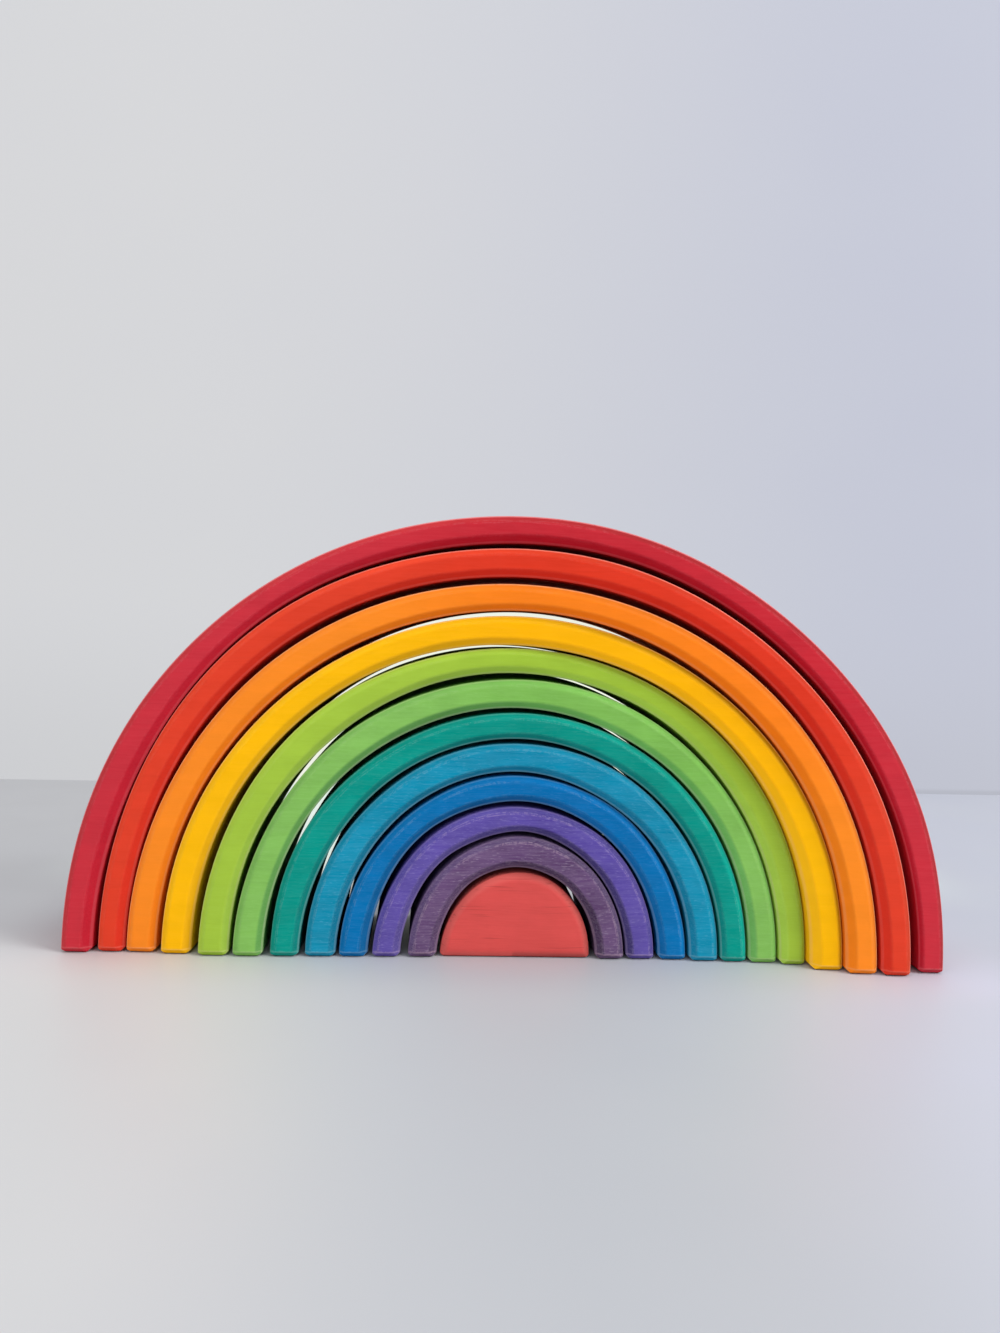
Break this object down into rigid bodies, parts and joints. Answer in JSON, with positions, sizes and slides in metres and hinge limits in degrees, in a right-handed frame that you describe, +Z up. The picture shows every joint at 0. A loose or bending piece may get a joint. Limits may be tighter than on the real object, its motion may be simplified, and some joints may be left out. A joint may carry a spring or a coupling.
{
  "type": "rainbow stacker",
  "caption": "Nesting wooden toy: coloured semicircular arches standing one over the other around a half disc, each loose and lifted off upwards.",
  "frame": {"origin": "middle of the half disc's flat base, on the floor that every piece stands on", "axes": "+X along the row of feet to the right in the picture, +Y from the front faces to the back, +Z up"},
  "size_m": [0.38, 0.0849, 0.192],
  "materials": {
    "coral_stain": "water-based stain on sanded wood, matte",
    "plum_stain": "water-based stain on sanded wood, matte",
    "violet_stain": "water-based stain on sanded wood, matte",
    "blue_stain": "water-based stain on sanded wood, matte",
    "cerulean_stain": "water-based stain on sanded wood, matte",
    "teal_stain": "water-based stain on sanded wood, matte",
    "green_stain": "water-based stain on sanded wood, matte",
    "lime_stain": "water-based stain on sanded wood, matte",
    "yellow_stain": "water-based stain on sanded wood, matte",
    "orange_stain": "water-based stain on sanded wood, matte",
    "scarlet_stain": "water-based stain on sanded wood, matte",
    "crimson_stain": "water-based stain on sanded wood, matte"
  },
  "bodies": {
    "coral_half_disc": {"coral_half_disc": "coral_stain"},
    "plum_arch": {"plum_arch": "plum_stain"},
    "violet_arch": {"violet_arch": "violet_stain"},
    "blue_arch": {"blue_arch": "blue_stain"},
    "cerulean_arch": {"cerulean_arch": "cerulean_stain"},
    "teal_arch": {"teal_arch": "teal_stain"},
    "green_arch": {"green_arch": "green_stain"},
    "lime_arch": {"lime_arch": "lime_stain"},
    "yellow_arch": {"yellow_arch": "yellow_stain"},
    "orange_arch": {"orange_arch": "orange_stain"},
    "scarlet_arch": {"scarlet_arch": "scarlet_stain"},
    "crimson_arch": {"crimson_arch": "crimson_stain"}
  },
  "joints": [
    {"name": "plum_lift", "type": "slide", "parent": "coral_half_disc", "child": "plum_arch", "axis": [0, 0, 1], "range_m": [0, 0.043]},
    {"name": "violet_lift", "type": "slide", "parent": "plum_arch", "child": "violet_arch", "axis": [0, 0, 1], "range_m": [0, 0.059]},
    {"name": "blue_lift", "type": "slide", "parent": "violet_arch", "child": "blue_arch", "axis": [0, 0, 1], "range_m": [0, 0.072]},
    {"name": "cerulean_lift", "type": "slide", "parent": "blue_arch", "child": "cerulean_arch", "axis": [0, 0, 1], "range_m": [0, 0.085]},
    {"name": "teal_lift", "type": "slide", "parent": "cerulean_arch", "child": "teal_arch", "axis": [0, 0, 1], "range_m": [0, 0.1]},
    {"name": "green_lift", "type": "slide", "parent": "teal_arch", "child": "green_arch", "axis": [0, 0, 1], "range_m": [0, 0.113]},
    {"name": "lime_lift", "type": "slide", "parent": "green_arch", "child": "lime_arch", "axis": [0, 0, 1], "range_m": [0, 0.127]},
    {"name": "yellow_lift", "type": "slide", "parent": "lime_arch", "child": "yellow_arch", "axis": [0, 0, 1], "range_m": [0, 0.142]},
    {"name": "orange_lift", "type": "slide", "parent": "yellow_arch", "child": "orange_arch", "axis": [0, 0, 1], "range_m": [0, 0.155]},
    {"name": "scarlet_lift", "type": "slide", "parent": "orange_arch", "child": "scarlet_arch", "axis": [0, 0, 1], "range_m": [0, 0.169]},
    {"name": "crimson_lift", "type": "slide", "parent": "scarlet_arch", "child": "crimson_arch", "axis": [0, 0, 1], "range_m": [0, 0.184]}
  ]
}
